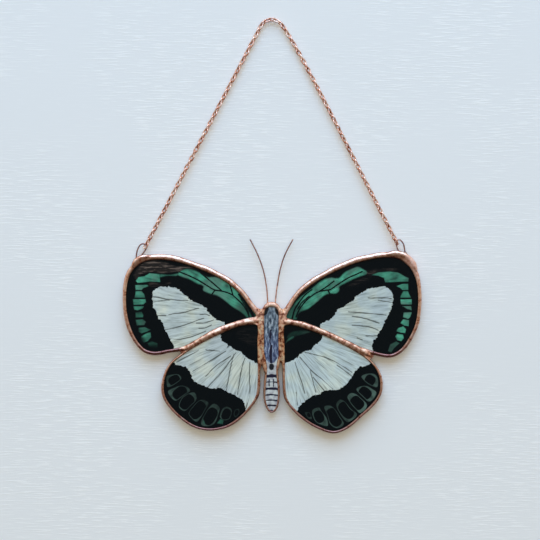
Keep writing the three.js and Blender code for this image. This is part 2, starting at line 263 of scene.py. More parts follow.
FOREWING_RIGHT = {
    "root": (3.0, 0.8),
    "pale": (0.87, 0.91, 0.93),
    "fade": (0.5, 2.0),
    "white": [
        (24.8, -6.0), (24.6, -2.0), (25.8, -1.2), (28.6, -0.1), (30.3, 1.1), (32.3, 3.8), (33.1, 5.1),
        (35.8, 6.5), (38.3, 8.2), (40.8, 9.8), (42.3, 11.8), (44.8, 13.5), (47.8, 15.4), (51.3, 16.1),
        (55.3, 16.5), (58.3, 16.0), (60.0, 14.5), (60.5, 10.0), (60.1, 6.5), (59.0, 4.0), (57.8, 1.5),
        (56.6, -1.0), (55.3, -3.8), (53.8, -6.0), (52.6, -8.5), (50.8, -10.8), (50.3, -12.0), (50.6, -17.0),
        (41.8, -14.5), (31.8, -9.0),
    ],
    "green": [
        (1.0, [
            (47.8, 22.8), (44.3, 21.5), (40.3, 19.8), (36.8, 18.0), (34.3, 16.5), (34.1, 14.5),
            (32.3, 13.0), (29.8, 13.0), (26.8, 12.2), (24.3, 10.0), (21.3, 7.5), (18.3, 5.2), (14.8, 3.8),
            (13.3, 2.5), (12.8, 0.2), (6.8, 1.0), (7.8, 3.5), (10.3, 7.0), (12.8, 10.2), (16.3, 13.2),
            (20.3, 16.2), (23.8, 19.0), (26.8, 20.8), (29.8, 21.5), (33.3, 21.2), (36.3, 24.0),
            (40.3, 26.0), (43.3, 26.8), (45.8, 25.8), (47.8, 24.5),
        ]),
    ],
    "cells": [
        (0.75, [
            (49.8, 22.5), (53.3, 23.8), (59.3, 24.3), (63.3, 23.8), (66.3, 22.0), (68.6, 21.0),
            (68.3, 19.2), (62.3, 19.0), (56.8, 18.8), (56.1, 21.0), (53.3, 22.1),
        ]),
        (0.85, [(62.3, 17.0), (65.3, 18.1), (68.3, 18.2), (68.3, 15.0), (65.3, 15.0), (64.3, 16.0)]),
        (0.65, [(65.8, 14.5), (68.3, 14.5), (68.8, 13.0), (69.8, 11.2), (64.3, 11.2), (64.8, 12.8)]),
        (1.0, [(64.3, 10.4), (70.1, 10.5), (70.1, 7.8), (64.6, 7.8)]),
        (0.75, [(65.3, 7.0), (69.8, 7.1), (70.1, 4.8), (67.8, 5.5)]),
        (1.0, [(66.1, 3.8), (70.1, 4.0), (69.3, 1.5), (68.3, 0.5), (65.6, 1.5)]),
        (0.95, [(64.3, -1.5), (65.8, 0.5), (68.8, 0.0), (68.5, -3.1), (66.3, -2.7)]),
        (0.95, [(62.3, -5.5), (63.3, -4.0), (65.8, -3.0), (67.3, -4.5), (66.8, -6.5), (64.3, -6.2)]),
        (0.95, [(61.8, -8.0), (62.8, -6.8), (65.8, -7.2), (66.1, -9.0), (64.8, -10.5), (62.8, -10.0)]),
        (0.3, [(59.3, -12.0), (62.3, -10.5), (64.1, -11.5), (61.3, -14.0), (59.8, -16.2), (58.1, -15.5)]),
    ],
    "veins": [
        (0.32, [
            (45.3, 24.2), (42.8, 23.0), (39.3, 21.5), (35.8, 19.5), (32.8, 17.5), (29.3, 15.2),
            (26.8, 14.8), (23.3, 14.0), (19.3, 11.5), (16.3, 8.5), (13.8, 5.0), (12.3, 1.5),
        ]),
        (0.32, [(31.3, 19.5), (27.3, 16.5), (23.8, 14.2)]),
        (0.32, [(28.3, 14.8), (29.3, 12.8)]),
        (0.3, [(20.3, 15.2), (16.8, 12.5), (13.8, 8.8)]),
        (0.4, [(13.8, 8.8), (11.8, 5.5), (10.3, 0.5)]),
        (0.25, [(18.8, 12.0), (15.3, 8.8), (13.1, 5.5)]),
    ],
    "reflection_haze": [
        (0.45, [
            (46.3, 24.5), (50.3, 25.2), (58.3, 25.8), (64.3, 25.5), (59.3, 24.5), (52.8, 23.5),
            (48.3, 22.0),
        ]),
        (0.14, [
            (37.3, 16.5), (41.3, 19.5), (45.8, 21.2), (50.3, 21.8), (48.3, 19.5), (44.3, 17.8),
            (40.3, 16.5),
        ]),
    ],
    "fine": [
        [(60.3, 8.8), (57.8, 9.2), (53.3, 9.9)], [(59.8, 10.8), (54.3, 11.1), (48.3, 11.0)],
        [(53.8, -1.5), (50.8, -0.5), (46.8, 0.8), (40.3, 2.0)], [(57.3, 2.5), (50.3, 3.2), (38.3, 4.2)],
        [(53.8, -7.8), (47.3, -7.8)], [(45.3, -9.8), (42.8, -8.8)],
        [(53.3, -5.0), (48.3, -3.2), (40.3, -2.5)],
    ],
}
HINDWING_LEFT = {
    "root": (-4.0, -4.0),
    "pale": (0.94, 0.95, 0.95),
    "white": [
        (-26.2, -6.0), (-24.7, -10.0), (-21.7, -12.5), (-22.2, -13.8), (-20.7, -13.0), (-17.7, -15.0),
        (-15.7, -15.5), (-13.2, -18.0), (-10.7, -19.5), (-8.2, -21.0), (-5.2, -22.5), (-4.7, -35.0),
        (-6.7, -40.0), (-12.4, -46.0), (-12.9, -43.2), (-14.2, -40.0), (-17.2, -38.2), (-20.2, -36.5),
        (-23.2, -35.0), (-25.7, -33.8), (-29.7, -34.3), (-32.2, -33.2), (-35.7, -32.0), (-38.9, -30.0),
        (-40.2, -27.0), (-42.2, -23.8), (-43.7, -23.2), (-47.7, -22.0), (-49.7, -19.5), (-43.2, -15.0),
    ],
    "cells": [
        (0.3, [(-35.2, -52.0), (-33.9, -49.2), (-32.4, -52.8)]),
        (0.28, [(-27.2, -51.5), (-25.4, -49.2), (-23.7, -50.0), (-24.2, -52.0)]),
    ],
    "reflection_haze": [
        (0.06, [(-7.2, -13.5), (-12.7, -11.5), (-17.7, -8.0), (-16.7, -4.5), (-7.2, -4.0)]),
    ],
    "rings": [
        (0.2, [
            (-52.2, -28.0), (-49.2, -27.0), (-46.2, -27.0), (-44.7, -29.0), (-47.2, -31.5), (-51.7, -33.5),
            (-52.4, -30.5),
        ], (-48.4, -29.9, 2.8, 2.2)),
        (0.18, [
            (-51.7, -35.5), (-48.2, -33.5), (-44.7, -32.5), (-41.2, -33.7), (-40.4, -35.2), (-43.4, -37.5),
            (-47.7, -40.3), (-49.8, -39.0),
        ], (-45.7, -36.2, 3.7, 2.5)),
        (0.19, [
            (-44.7, -38.8), (-41.4, -36.5), (-38.3, -36.0), (-37.2, -38.0), (-37.3, -39.8), (-40.2, -43.0),
            (-43.4, -45.5), (-46.2, -43.2),
        ], (-42.2, -40.8, 4.0, 2.8)),
        (0.16, [
            (-41.4, -46.5), (-39.2, -43.0), (-35.7, -39.8), (-33.2, -39.8), (-31.2, -41.3), (-32.7, -44.5),
            (-35.2, -48.8), (-37.3, -50.8), (-39.9, -49.0),
        ], (-36.8, -44.9, 4.8, 3.0)),
        (0.18, [
            (-35.2, -51.0), (-33.7, -47.5), (-31.2, -43.5), (-28.7, -41.5), (-25.7, -43.5), (-26.3, -47.0),
            (-28.2, -51.5), (-31.2, -53.0), (-34.7, -52.5),
        ], (-30.4, -48.0, 4.5, 2.7)),
        (0.16, [
            (-25.7, -48.5), (-24.2, -44.0), (-22.2, -43.0), (-19.7, -44.5), (-20.0, -47.7), (-21.0, -49.5),
            (-23.7, -50.0),
        ], (-22.5, -47.0, 2.8, 2.0)),
        (0.1, [
            (-18.9, -47.0), (-17.9, -44.5), (-16.2, -44.2), (-15.9, -46.5), (-17.9, -48.5),
        ], (-17.4, -46.3, 1.5, 1.0)),
    ],
    "fine": [
        [(-17.7, -16.2), (-24.7, -26.0), (-31.7, -33.5)], [(-18.7, -17.0), (-20.2, -23.0), (-22.4, -35.0)],
        [(-13.2, -19.0), (-14.7, -24.0), (-16.9, -37.0)],
        [(-10.7, -21.0), (-10.9, -30.0), (-10.7, -37.5), (-12.7, -44.0)],
        [(-22.7, -15.5), (-34.2, -22.5), (-39.2, -25.5)], [(-20.2, -18.0), (-27.2, -22.5), (-32.7, -28.0)],
        [(-32.7, -14.8), (-25.7, -15.5)], [(-47.2, -21.0), (-36.2, -15.0)],
    ],
}
HINDWING_RIGHT = {
    "root": (4.0, -4.0),
    "pale": (0.95, 1.0, 1.02),
    "white": [
        (26.3, -6.5), (24.8, -10.0), (21.8, -12.5), (20.3, -13.8), (20.8, -15.0), (17.8, -15.2),
        (14.8, -16.5), (12.8, -18.8), (9.3, -20.5), (4.8, -23.2), (4.8, -34.0), (6.3, -39.0), (12.3, -46.5),
        (13.1, -44.5), (13.8, -43.5), (16.8, -40.2), (20.3, -37.9), (23.8, -37.0), (26.8, -35.1),
        (29.8, -35.0), (34.3, -34.2), (37.3, -32.0), (39.8, -28.8), (41.8, -25.5), (44.3, -23.2),
        (46.3, -23.2), (49.8, -21.2), (50.3, -19.0), (40.3, -13.0),
    ],
    "green": [
        (1.5, [
            (6.8, -12.0), (7.6, -9.8), (9.1, -8.2), (10.6, -7.2), (12.8, -7.2), (11.6, -8.8), (9.8, -10.0),
            (8.1, -11.0),
        ]),
        (0.35, [
            (7.3, -9.0), (8.8, -6.5), (10.8, -5.4), (14.3, -4.9), (18.3, -5.2), (19.8, -5.9), (16.8, -7.2),
            (13.3, -8.0), (10.3, -9.2),
        ]),
    ],
    "cells": [
        (0.65, [(24.8, -52.2), (27.3, -49.5), (28.2, -52.8)]),
    ],
    "rings": [
        (0.26, [
            (44.8, -28.0), (48.3, -26.5), (51.8, -27.0), (53.3, -29.5), (52.8, -33.5), (50.3, -33.0),
            (46.8, -30.8),
        ], (49.3, -29.9, 2.5, 2.4)),
        (0.32, [
            (42.3, -34.5), (44.3, -33.0), (47.7, -32.8), (50.3, -34.2), (52.5, -35.9), (51.8, -38.2),
            (48.8, -40.8), (45.8, -38.5),
        ], (46.8, -36.3, 3.2, 2.5)),
        (0.32, [
            (37.8, -38.2), (39.8, -36.2), (42.3, -36.8), (45.0, -39.0), (47.8, -42.0), (47.3, -44.2),
            (44.2, -46.5), (42.3, -44.8), (39.3, -41.3),
        ], (42.8, -41.3, 3.5, 2.8)),
        (0.2, [
            (32.2, -42.0), (34.2, -39.5), (36.8, -40.5), (39.6, -44.0), (42.8, -46.8), (42.2, -48.5),
            (38.2, -51.0), (36.8, -50.2), (33.6, -45.7),
        ], (37.3, -45.0, 4.5, 2.8)),
        (0.19, [
            (26.3, -43.0), (29.3, -42.5), (31.8, -44.2), (34.2, -48.0), (36.3, -51.7), (34.8, -53.5),
            (32.2, -54.0), (29.3, -52.0), (27.8, -47.5),
        ], (31.3, -48.5, 4.8, 2.8)),
        (0.22, [
            (20.3, -45.0), (23.8, -43.5), (25.3, -45.5), (27.8, -49.0), (28.2, -52.8), (24.7, -52.2),
            (21.8, -50.5),
        ], (23.8, -48.2, 3.0, 2.2)),
        (0.08, [(16.7, -46.0), (19.2, -46.0), (20.3, -49.5), (18.1, -48.8)], (18.8, -47.3, 1.0, 0.8)),
    ],
    "fine": [
        [(14.3, -18.5), (19.8, -25.0), (25.3, -29.5), (30.8, -34.5)],
        [(11.8, -21.0), (14.8, -30.0), (16.8, -36.5)], [(19.3, -25.0), (22.3, -36.0)],
        [(20.8, -28.5), (26.3, -35.0)], [(32.8, -22.5), (40.3, -28.0)], [(12.3, -36.0), (13.1, -42.5)],
        [(16.8, -16.0), (29.3, -19.5), (40.3, -26.0)],
    ],
}
PANES = {
    "forewing_left_glass": FOREWING_LEFT,
    "forewing_right_glass": FOREWING_RIGHT,
    "hindwing_left_glass": HINDWING_LEFT,
    "hindwing_right_glass": HINDWING_RIGHT,
    "body_glass": None,
}
FINE_HALF = 0.23
FAR = 99.0
ROOT_FADE = (8.0, 22.0)  # mm from a wing's root, over which the green brightens
CELL_CRISP = 2.0  # how much sharper the edges of the small green marks are than the band's
CELL_GROW = 0.12
RING_CRISP = 2.6
RING_HALF = 0.3  # half the width of a ring's line

# Markings of the body: the thorax, dark spots, and dark lines and bands with their half widths
THORAX = [
    (-5.0, 9.0), (5.0, 9.0), (5.0, -14.0), (3.2, -18.4), (1.7, -20.8), (0.0, -21.5), (-1.7, -20.8),
    (-3.2, -18.4), (-5.0, -14.0),
]
BODY_SPOTS = [
    [(-4.8, 4.5), (-4.0, 7.0), (-1.2, 7.2), (-1.5, 5.0), (-2.1, 3.2), (-3.2, 2.2), (-4.8, 2.4)],
    [(4.8, 4.5), (4.0, 7.0), (1.8, 7.2), (1.8, 5.0), (2.5, 3.2), (3.4, 2.2), (4.8, 2.4)],
    [
        (-1.1, -23.2), (-0.9, -22.0), (0.1, -21.6), (1.1, -22.0), (1.3, -23.2), (1.0, -24.6), (0.1, -25.0),
        (-0.8, -24.6),
    ],
]
BODY_LINES = [
    ([(-0.2, -0.5), (-0.2, -5.0)], 0.08),
    ([(-0.2, -5.0), (-0.5, -8.8)], 0.42),
    ([(-0.5, -8.8), (-0.7, -11.0), (0.1, -12.8)], 0.24),
    ([(0.1, -12.8), (-0.3, -15.2), (-0.1, -21.0)], 0.55),
    ([(-1.0, -29.6), (-1.1, -33.0)], 0.22),
    ([(1.1, -29.6), (1.1, -33.0)], 0.22),
]
BODY_BANDS = [
    (-27.8, 0.75), (-30.8, 0.28), (-34.1, 0.6), (-37.2, 0.35), (-39.9, 0.3), (-42.5, 0.35), (-45.0, 0.22),
]
BAND_HALF_LENGTH = 3.6
BAND_DROOP = 0.4
THORAX_FADE = (-14, -2)  # heights between which the lower thorax turns into the upper

# Light. The room's colours run from straight down, 0, to straight up, 1.
ROOM_LIGHT = [
    (0.0, (0.06, 0.04, 0.03)), (0.30, (0.16, 0.12, 0.08)), (0.45, (0.44, 0.37, 0.27)),
    (0.58, (0.58, 0.51, 0.39)), (0.80, (0.80, 0.74, 0.63)), (1.0, (1.25, 1.18, 1.02)),
]
FRONT_LIGHT = 0.4  # share of it that is left straight in front of the glass
FRONT_RANGE = (-0.99, -0.88)  # a direction's y, from that share to all of it
LIGHT_AIM = (0, 10)  # mm, the panel's point that both lamps face
KEY_PLACE = (0.0, -1.15, 1.15)
KEY_SIZE = 1.4
KEY_POWER = 23.6
KEY_COLOUR = (0.35, 0.63, 1.0)
FILL_PLACE = (0.0, -1.3, -0.2)  # it softens the shadows, and isn't seen in the metal
FILL_SIZE = 0.8
FILL_POWER = 4.2
FILL_COLOUR = (1.0, 0.90, 0.68)


def place(x, y, front=0.0):
    """A drawing's point in the frame, front millimetres before the panel's middle plane."""
    return Vector((x * MM, -front * MM, (y - DROP) * MM))


def metres(sizes):
    """Sizes in mm, in metres."""
    return [size * MM for size in sizes]


def levels(heights):
    """The heights in the frame of some of a drawing's."""
    return [place(0, y).z for y in heights]


def curve_through(points, count, closed=False):
    """count points evenly along a smooth line through the given ones (centripetal Catmull-Rom)."""
    p = np.asarray(points, float)
    p = np.vstack([p[-1], p, p[:2]]) if closed else np.vstack([2 * p[0] - p[1], p, 2 * p[-1] - p[-2]])
    runs = []
    for a, b, c, d in zip(p[:-3], p[1:-2], p[2:-1], p[3:]):
        t0 = 0.0
        t1 = t0 + math.sqrt(np.linalg.norm(b - a))
        t2 = t1 + math.sqrt(np.linalg.norm(c - b))
        t3 = t2 + math.sqrt(np.linalg.norm(d - c))
        t = np.linspace(t1, t2, 24, endpoint=False)[:, None]
        ab = (t1 - t) / (t1 - t0) * a + (t - t0) / (t1 - t0) * b
        bc = (t2 - t) / (t2 - t1) * b + (t - t1) / (t2 - t1) * c
        cd = (t3 - t) / (t3 - t2) * c + (t - t2) / (t3 - t2) * d
        abc = (t2 - t) / (t2 - t0) * ab + (t - t0) / (t2 - t0) * bc
        bcd = (t3 - t) / (t3 - t1) * bc + (t - t1) / (t3 - t1) * cd
        runs.append((t2 - t) / (t2 - t1) * abc + (t - t1) / (t2 - t1) * bcd)
    line = np.vstack(runs + [p[-2][None]])
    along = np.concatenate([[0], np.cumsum(np.linalg.norm(np.diff(line, axis=0), axis=1))])
    at = np.linspace(0, along[-1], count, endpoint=not closed)
    return np.stack([np.interp(at, along, line[:, k]) for k in range(2)], axis=1)


def outward(loop):
    """The unit outward normal at each point of a counterclockwise loop."""
    along = np.roll(loop, -1, axis=0) - np.roll(loop, 1, axis=0)
    along /= np.linalg.norm(along, axis=1)[:, None]
    return np.stack([along[:, 1], -along[:, 0]], axis=1)


def pane_outline(node, count):
    """A pane's outline, counterclockwise, read from its CAD node's front face."""
    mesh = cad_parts[node].data
    co = np.array([v.co[:] for v in mesh.vertices]) / MM
    front = co[co[:, 1] < co[:, 1].min() + 0.1]
    flat = np.unique(np.round(front[:, [0, 2]], 3), axis=0) + [0, DROP]
    middle = flat.mean(axis=0)
    turn = np.arctan2(flat[:, 1] - middle[1], flat[:, 0] - middle[0])
    return curve_through(flat[np.argsort(turn)], count, closed=True)


def distance_to_line(points, line, closed=False):
    """Distance from each point to a line of straight steps."""
    best = np.full(len(points), np.inf)
    ends = np.roll(line, -1, axis=0) if closed else line[1:]
    for a, b in zip(line, ends):
        step = b - a
        rel = points - a
        share = np.clip(rel @ step / max(step @ step, 1e-12), 0, 1)
        best = np.minimum(best, np.hypot(rel[:, 0] - share * step[0], rel[:, 1] - share * step[1]))
    return best


def distance_inside(points, loop):
    """Signed distance from each point to a closed loop, negative inside."""
    inside = np.zeros(len(points), bool)
    for a, b in zip(loop, np.roll(loop, -1, axis=0)):
        if a[1] != b[1]:
            crosses = (a[1] > points[:, 1]) != (b[1] > points[:, 1])
            inside ^= crosses & (points[:, 0] < a[0] + (points[:, 1] - a[1]) * (b[0] - a[0]) / (b[1] - a[1]))
    return np.where(inside, -1, 1) * distance_to_line(points, loop, closed=True)


def rounded_box(x, y, half_width, half_height, turn=0.0):
    """A closed loop between an ellipse and a box."""
    angle = np.linspace(0, 2 * math.pi, 28, endpoint=False)
    u = half_width * np.sign(np.cos(angle)) * np.abs(np.cos(angle)) ** 0.75
    v = half_height * np.sign(np.sin(angle)) * np.abs(np.sin(angle)) ** 0.75
    c, s = math.cos(turn), math.sin(turn)
    return np.stack([x + c * u - s * v, y + s * u + c * v], axis=1)


def new_object(name, verts, faces, material, smooth=True):
    """A mesh object with one material."""
    mesh = bpy.data.meshes.new(name)
    mesh.from_pydata([tuple(v) for v in verts], [], faces)
    mesh.materials.append(material)
    if smooth:
        mesh.polygons.foreach_set("use_smooth", [True] * len(mesh.polygons))
    obj = bpy.data.objects.new(name, mesh)
    bpy.context.collection.objects.link(obj)
    return obj


def dress(obj, node):
    """Puts a piece in place of its CAD node, on the one body."""
    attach(obj, "root")
    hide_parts(node)


def round_section(radius, sides=14):
    """The section of a wire, as shares of its half width and depths."""
    angles = [2 * math.pi * k / sides for k in range(sides)]
    return [(math.cos(a), radius * math.sin(a)) for a in angles]


def bead_section(middle, crown, peak, roundness, steps=10):
    """The section of a bead of solder: a crowned front and back on a flat-sided middle."""
    front = []
    for k in range(steps + 1):
        angle = math.pi * k / steps
        side = math.copysign(abs(math.cos(angle)) ** roundness, math.cos(angle))
        share = peak + side * (1 - peak if side > 0 else 1 + peak)
        front.append((share, middle + crown * math.sin(angle) ** roundness))
    return front + [(share, -depth) for share, depth in reversed(front)]


def tube(line, half_width, section, closed=False):
    """Vertices and faces of a bar of the given section along a line in the panel's plane."""
    line = np.asarray(line, float)
    count, sides = len(line), len(section)
    if closed:
        across = outward(line)
    else:
        along = np.gradient(line, axis=0)
        along /= np.linalg.norm(along, axis=1)[:, None]
        across = np.stack([along[:, 1], -along[:, 0]], axis=1)
    verts = []
    for p, n, w in zip(line, across, np.broadcast_to(half_width, count)):
        verts += [place(p[0] + n[0] * w * share, p[1] + n[1] * w * share, depth) for share, depth in section]
    faces = []
    for i in range(count if closed else count - 1):
        j = (i + 1) % count
        for k in range(sides):
            m = (k + 1) % sides
            faces.append((i * sides + k, i * sides + m, j * sides + m, j * sides + k))
    if not closed:
        faces.append(tuple(range(sides))[::-1])
        faces.append(tuple((count - 1) * sides + k for k in range(sides)))
    return verts, faces


def ball(x, y, radius, half_depth):
    """Vertices and faces of a drop of solder."""
    verts, faces = [], []
    rows, sides = 8, 14
    for i in range(1, rows):
        polar = math.pi * i / rows
        reach = radius * math.sin(polar)
        for k in range(sides):
            turn = 2 * math.pi * k / sides
            across, up = reach * math.cos(turn), reach * math.sin(turn)
            verts.append(place(x + across, y + up, half_depth * math.cos(polar)))
    top, bottom = len(verts), len(verts) + 1
    verts += [place(x, y, half_depth), place(x, y, -half_depth)]
    last = (rows - 2) * sides
    for k in range(sides):
        m = (k + 1) % sides
        faces += [(top, k, m), (bottom, last + m, last + k)]
        for i in range(rows - 2):
            faces.append((i * sides + k, (i + 1) * sides + k, (i + 1) * sides + m, i * sides + m))
    return verts, faces


def fill_ramp(ramp, stops):
    """Gives a colour ramp its stops."""
    while len(ramp.elements) < len(stops):
        ramp.elements.new(0.5)
    for element, (at, colour) in zip(ramp.elements, stops):
        element.position = at
        element.color = (*colour, 1.0)


class Shader:
    """One material's node tree, with short ways to add to it."""

    def __init__(self, name):
        self.material = bpy.data.materials.new(name)
        self.material.use_nodes = True
        self.tree = self.material.node_tree
        self.surface = self.tree.nodes["Principled BSDF"]

    def node(self, kind, **settings):
        made = self.tree.nodes.new(kind)
        for key, value in settings.items():
            setattr(made, key, value)
        return made

    def put(self, socket, value):
        if isinstance(value, bpy.types.NodeSocket):
            self.tree.links.new(value, socket)
        elif value is not None:
            socket.default_value = value

    def math(self, operation, a, b=None):
        made = self.node("ShaderNodeMath", operation=operation)
        self.put(made.inputs[0], a)
        self.put(made.inputs[1], b)
        return made.outputs[0]

    def plus(self, a, b):
        return self.math("ADD", a, b)

    def minus(self, a, b):
        return self.math("SUBTRACT", a, b)

    def times(self, a, b):
        return self.math("MULTIPLY", a, b)

    def most(self, a, b):
        return self.math("MAXIMUM", a, b)

    def attribute(self, name):
        return self.node("ShaderNodeAttribute", attribute_name=name).outputs["Fac"]

    def position(self):
        return self.node("ShaderNodeTexCoord").outputs["Object"]

    def split(self, vector):
        made = self.node("ShaderNodeSeparateXYZ")
        self.put(made.inputs[0], vector)
        return made.outputs

    def vector(self, x, y, z=0.0):
        made = self.node("ShaderNodeCombineXYZ")
        for socket, value in zip(made.inputs, (x, y, z)):
            self.put(socket, value)
        return made.outputs[0]

    def noise(self, vector, scale, detail=3.0, roughness=0.5):
        made = self.node("ShaderNodeTexNoise")
        self.put(made.inputs["Vector"], vector)
        made.inputs["Scale"].default_value = scale
        made.inputs["Detail"].default_value = detail
        made.inputs["Roughness"].default_value = roughness
        return made.outputs["Fac"]

    def strokes(self, x, y, x_scale, y_scale, detail, roughness):
        """Noise that is stretched into strokes."""
        stretched = self.vector(self.times(x, x_scale), self.times(y, y_scale))
        return self.noise(stretched, 1.0, detail, roughness)

    def step(self, value, low, high, start=0.0, end=1.0):
        """start below low and end above high, with a smooth change between."""
        made = self.node("ShaderNodeMapRange", interpolation_type="SMOOTHSTEP")
        for socket, number in zip(made.inputs, (value, low, high, start, end)):
            self.put(socket, number)
        return made.outputs[0]

    def within(self, distance, waver, low, high, most=1.0):
        """most inside a mark and 0 outside, by a signed distance to its edge and the edge's waver."""
        return self.step(self.plus(self.attribute(distance), waver), low, high, most, 0.0)

    def ramp(self, value, stops):
        made = self.node("ShaderNodeValToRGB")
        fill_ramp(made.color_ramp, stops)
        self.put(made.inputs[0], value)
        return made.outputs["Color"]

    def mix(self, share, first, second, blend="MIX"):
        made = self.node("ShaderNodeMix", data_type="RGBA", blend_type=blend)
        self.put(made.inputs[0], share)
        self.put(made.inputs[6], (*first, 1.0) if isinstance(first, tuple) else first)
        self.put(made.inputs[7], (*second, 1.0) if isinstance(second, tuple) else second)
        return made.outputs[2]

    def bump(self, height, strength, distance):
        made = self.node("ShaderNodeBump")
        made.inputs["Strength"].default_value = strength
        made.inputs["Distance"].default_value = distance
        self.put(made.inputs["Height"], height)
        return made.outputs[0]

    def finish(self, **inputs):
        for name, value in inputs.items():
            socket = self.surface.inputs[name.replace("_", " ")]
            self.put(socket, (*value, 1.0) if isinstance(value, tuple) else value)
        return self.material


def copper_material(name, shades, speck_share, roughness, soldered=False, tips=None):
    """Copper with brown mottling and dark specks. Soldered foil is worked and tarnished, with painted shade
    and highlights.

    tips are the heights, in mm, between which a wire darkens.
    """
    s = Shader(name)
    at = s.position()
    mottle = s.noise(at, MOTTLE_GRAIN, 5, 0.6)
    fine = s.noise(at, SPECK_GRAIN, 3, 0.6)
    bright, middle, dark = shades
    colour = s.ramp(mottle, [(0.36, dark), (0.48, middle), (0.60, bright)])
    rough = s.plus(s.times(mottle, 0.25), roughness)
    if soldered:
        colour, dull = solder_look(s, at, mottle, colour)
        rough = s.plus(rough, dull)
    if tips:
        darker = s.step(s.split(at)[2], *levels(tips), 0.0, 0.65)
        colour = s.mix(darker, colour, TIP_BROWN)
    colour = s.mix(s.step(fine, 0.66 - speck_share, 0.70 - speck_share), colour, SPECK)
    height = s.plus(s.noise(at, DENT_GRAIN, 2), s.times(fine, 0.3))
    return s.finish(Base_Color=colour, Metallic=1.0, Roughness=rough, Normal=s.bump(height, 0.2, 0.00015))


def solder_look(s, at, mottle, colour):
    """Colour and added roughness: browner by body and seams, tarnish and painted shade on sides and low
    down.
    """
    x, _, z = s.split(at)
    facing = s.split(s.node("ShaderNodeNewGeometry").outputs["Normal"])
    on_seam = s.attribute("seam")
    colour = s.mix(on_seam, colour, s.ramp(mottle, SEAM_COPPER))
    by_body = s.step(s.math("ABSOLUTE", x), *metres(BODY_REACH), 1.0, 0.0)
    by_body = s.times(by_body, s.step(z, *levels(BODY_FADE), 1.0, 0.5))
    by_body = s.times(by_body, s.step(z, *levels(FORK_FADE), 0.2, 1.0))
    colour = s.mix(by_body, colour, s.ramp(mottle, BODY_COPPER))
    # Painted highlights: spots where the tarnish and painted shade are taken off, and the metal is rougher
    painted_highlight = 0.0
    for spot in HIGHLIGHT_SPOTS:
        away = s.node("ShaderNodeVectorMath", operation="DISTANCE")
        s.put(away.inputs[0], at)
        s.put(away.inputs[1], place(*spot))
        painted_highlight = s.most(painted_highlight, s.step(away.outputs["Value"], *metres(HIGHLIGHT_REACH), 0.8, 0.0))
    # Painted shade, with some tarnish: darker where the metal faces sideways or down, on rims that face down
    # and low down
    beside = s.step(s.math("ABSOLUTE", facing[1]), 0.35, 0.8, 0.85, 0.0)
    below = s.step(facing[2], -0.7, -0.12, 0.9, 0.0)
    lower = s.times(s.attribute("lower"), 0.9)
    low = s.step(z, *levels(LOW_SHADE), 0.6, 0.0)
    tarnish_and_shade = s.most(s.most(beside, below), s.most(lower, low))
    tarnish_and_shade = s.times(tarnish_and_shade, s.minus(1.0, s.times(on_seam, 0.4)))
    tarnish_and_shade = s.times(tarnish_and_shade, s.minus(1.0, painted_highlight))
    dull = s.plus(s.times(on_seam, 0.1), s.times(painted_highlight, 0.3))
    return s.mix(tarnish_and_shade, colour, TARNISH_AND_SHADE), dull


def fan(s, at, root):
    """The angle round a wing's root, and the distance from it."""
    corner = place(*root)
    x, _, z = s.split(at)
    x = s.minus(x, corner.x)
    z = s.minus(z, corner.z)
    side = 1.0 if root[0] > 0 else -1.0
    turn = s.math("ARCTAN2", z, s.times(x, side))
    return turn, s.math("SQRT", s.plus(s.times(x, x), s.times(z, z)))


def wing_material(name, root, pale):
    """Black, green and white enamel on glass, brushed out from the wing's root."""
    s = Shader(name)
    at = s.position()
    turn, reach = fan(s, at, root)
    stroke = s.strokes(turn, reach, *WING_STROKE)
    streak = s.strokes(turn, reach, *WING_STREAK)
    tint = s.noise(at, TINT_GRAIN, 2)
    ragged = s.minus(stroke, 0.5)
    speckled = s.minus(s.noise(at, SPECKLE_GRAIN, 3), 0.5)

    # Green, greyer in places
    green_tone = s.plus(s.times(stroke, 0.5), s.times(s.noise(at, CLOUD_GRAIN, 3), 0.5))
    green = s.mix(s.step(tint, 0.48, 0.64, 0.0, 0.65), s.ramp(green_tone, GREEN), GREY_GREEN)
    green = s.mix(s.attribute("ring"), green, s.ramp(green_tone, RING_GREEN))

    # White, from cool to cream, with darker strokes
    white = s.mix(1.0, s.ramp(tint, WHITE), s.ramp(stroke, WHITE_TONE), "MULTIPLY")
    white = s.mix(1.0, white, pale, "MULTIPLY")
    white = s.mix(s.step(streak, 0.57, 0.68, 0.0, 0.6), white, WHITE_STREAK)

    # Where each one is
    x, _, z = s.split(at)
    scribble = s.strokes(x, z, *SCRIBBLE)
    # Painted reflection of the copper in the glass, as brownish strokes
    in_reflection_haze = s.times(s.attribute("reflection_haze"), s.step(scribble, 0.50, 0.61, 0.10))
    in_green = s.times(s.within("green", s.times(ragged, 0.9), -0.95, 0.08), s.attribute("glow"))
    in_vein = s.within("vein", s.times(speckled, 0.3), -0.10, 0.16)
    in_white = s.within("white", s.plus(s.times(ragged, 1.2), s.times(speckled, 2.0)), -0.1, 0.1)
    in_fine = s.within("fine", s.times(ragged, 0.9), -0.12, 0.16, 0.88)

    colour = s.mix(in_reflection_haze, BLACK, REFLECTION_BROWN)
    colour = s.mix(in_green, colour, green)
    colour = s.mix(in_vein, colour, BLACK)
    colour = s.mix(in_white, colour, white)
    colour = s.mix(s.times(in_fine, in_white), colour, FINE_LINE)
    height = s.plus(s.times(in_white, 0.6), s.times(stroke, 0.5))
    rough = s.plus(s.times(in_white, 0.2), s.times(stroke, 0.3))
    normal = s.bump(height, 0.2, 0.00012)
    return s.finish(Base_Color=colour, Roughness=rough, Specular_IOR_Level=0.22, Normal=normal)


